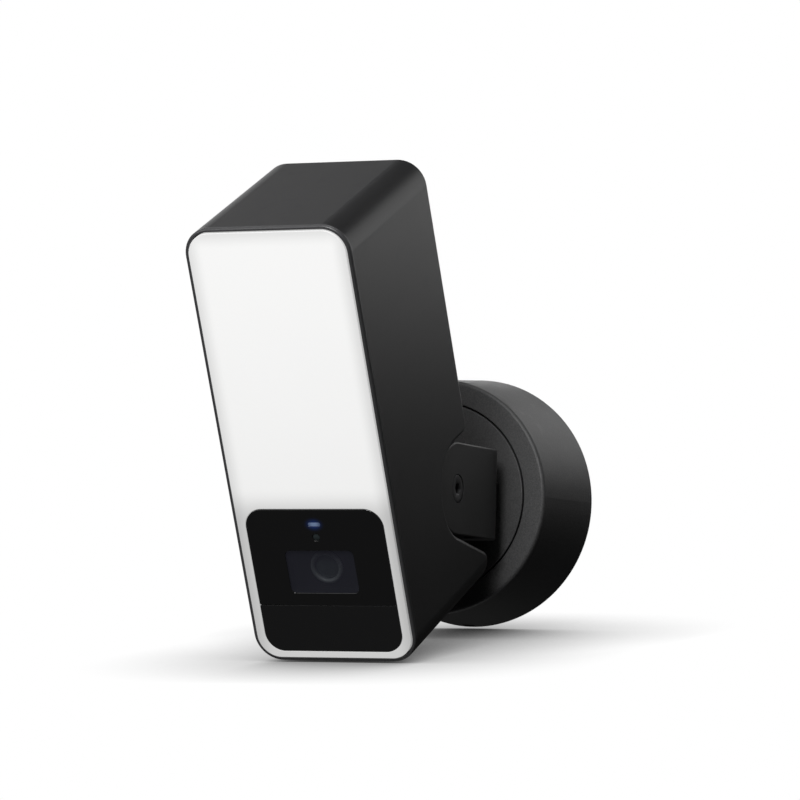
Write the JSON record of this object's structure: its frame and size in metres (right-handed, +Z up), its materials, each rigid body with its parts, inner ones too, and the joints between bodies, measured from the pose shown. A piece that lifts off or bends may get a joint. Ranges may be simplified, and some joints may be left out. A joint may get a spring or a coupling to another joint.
{
  "type": "floodlight security camera",
  "caption": "Wall-mounted security camera with a tall tilting floodlight head, a camera and motion-sensor panel at its foot and a turning round base.",
  "frame": {"origin": "centre of the base's back face, on the wall, where the turntable's axis meets it", "axes": "+Y into the wall, -Y out towards the viewer, +Z up, +X to the right of somebody who faces the lamp"},
  "size_m": [0.114, 0.2371, 0.215],
  "materials": {
    "housing_black": "smooth satin moulding",
    "base_black": "finely grained moulding",
    "disc_black": "finely grained moulding",
    "arm_black": "satin powder coat on a casting",
    "inner_black": "matte moulding",
    "panel_black": "polished, printed black behind",
    "sensor_black": "smooth, dark to the eye and clear to heat",
    "dark_window": "polished tinted",
    "clear_window": "clear coated",
    "lens_glass": "coated lens",
    "lens_metal": "black anodised",
    "opal_white": "satin opal",
    "light_pipe": "frosted clear",
    "led_white": "phosphor",
    "white_plastic": "smooth",
    "white_board": "white solder mask on aluminium",
    "board_green": "solder mask",
    "dark_parts": "moulded electronic parts",
    "capacitor_sleeve": "shrunk sleeve",
    "terminal_grey": "smooth",
    "zinc_steel": "zinc plated",
    "black_steel": "black oxide",
    "bare_aluminium": "extruded",
    "brass": "turned",
    "rubber": "smooth",
    "foam": "closed-cell foam"
  },
  "bodies": {
    "wall_base": {"wall_bracket": "zinc_steel", "wall_gasket": "foam", "base_housing": "base_black", "bearing_plate": "inner_black", "bearing_plate_screws": "zinc_steel", "lock_screw": "zinc_steel", "cable_grommet": "rubber", "power_board": "board_green", "board_standoffs": "brass", "power_transformer": "dark_parts", "power_capacitors": "capacitor_sleeve", "terminal_block": "terminal_grey"},
    "turntable": {"turntable_disc": "disc_black", "front_slip_washer": "white_plastic", "rear_slip_washer": "white_plastic", "retaining_ring": "zinc_steel", "hinge_arm": "arm_black", "arm_screws": "zinc_steel", "tilt_screw": "black_steel", "tilt_nut": "black_steel"},
    "head": {"head_housing": "housing_black", "hinge_knuckle": "arm_black", "knuckle_screws": "zinc_steel", "tilt_bushes": "brass", "tilt_washers": "white_plastic", "front_frame": "housing_black", "diffuser": "opal_white", "front_seal": "rubber", "panel_glass": "panel_black", "lens_window": "clear_window", "sensor_cover": "sensor_black", "camera_tub": "inner_black", "lens_mask": "inner_black", "lens_barrel": "lens_metal", "lens_glass": "lens_glass", "image_sensor_board": "board_green", "image_sensor": "dark_parts", "status_light_pipe": "light_pipe", "light_sensor_pipe": "dark_window", "status_light": "led_white", "indicator_board": "board_green", "motion_sensor": "zinc_steel", "motion_sensor_board": "board_green", "chassis_plate": "inner_black", "chassis_screws": "zinc_steel", "light_tray": "white_plastic", "light_board": "white_board", "light_chips": "led_white", "heat_sink": "bare_aluminium", "light_driver_board": "board_green", "driver_parts": "dark_parts", "main_board": "board_green", "main_board_spacers": "brass", "radio_module": "zinc_steel", "speaker": "dark_parts", "speaker_seal": "foam", "button_switch": "dark_parts", "button_board": "board_green", "microphone": "zinc_steel"},
    "reset_button": {"reset_button": "rubber"}
  },
  "joints": [
    {"name": "turntable_turn", "type": "hinge", "parent": "wall_base", "child": "turntable", "pos_m": [0, 0, 0], "axis": [0, 1, 0], "range_deg": [-160, 160]},
    {"name": "head_tilt", "type": "hinge", "parent": "turntable", "child": "head", "pos_m": [0, -0.108, 0], "axis": [1, 0, 0], "range_deg": [-26, 8]},
    {"name": "reset_press", "type": "slide", "parent": "head", "child": "reset_button", "axis": [0, -0.4384, 0.8988], "range_m": [0, 0.0008], "stiffness_N_per_m": 600}
  ]
}
